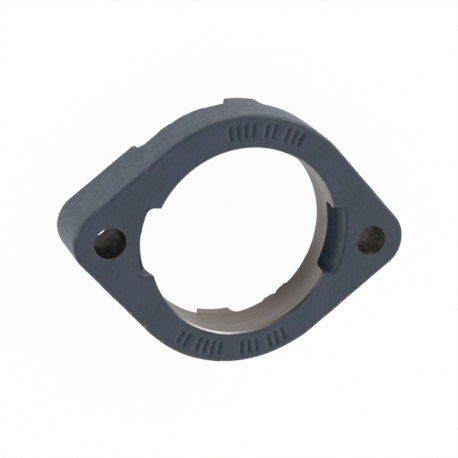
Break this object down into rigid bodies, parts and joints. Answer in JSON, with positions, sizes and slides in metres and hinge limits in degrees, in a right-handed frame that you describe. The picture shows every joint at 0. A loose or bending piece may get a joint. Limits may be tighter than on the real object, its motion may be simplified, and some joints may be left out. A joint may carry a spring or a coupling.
{
  "type": "flanged bearing housing",
  "caption": "Oval cast flange housing with a spherical seat for an insert bearing, loading slots and a bolt hole at each end.",
  "frame": {"origin": "on the mounting face, midway between the bolt holes", "axes": "+Z along the bore from the mounting face to the front face, +X along the line of the bolt holes"},
  "size_m": [0.126, 0.0936, 0.022],
  "materials": {
    "casting": "matt slate primer over a rough casting; seat and bolt holes bare"
  },
  "bodies": {
    "root": {"housing": "casting"}
  },
  "joints": []
}
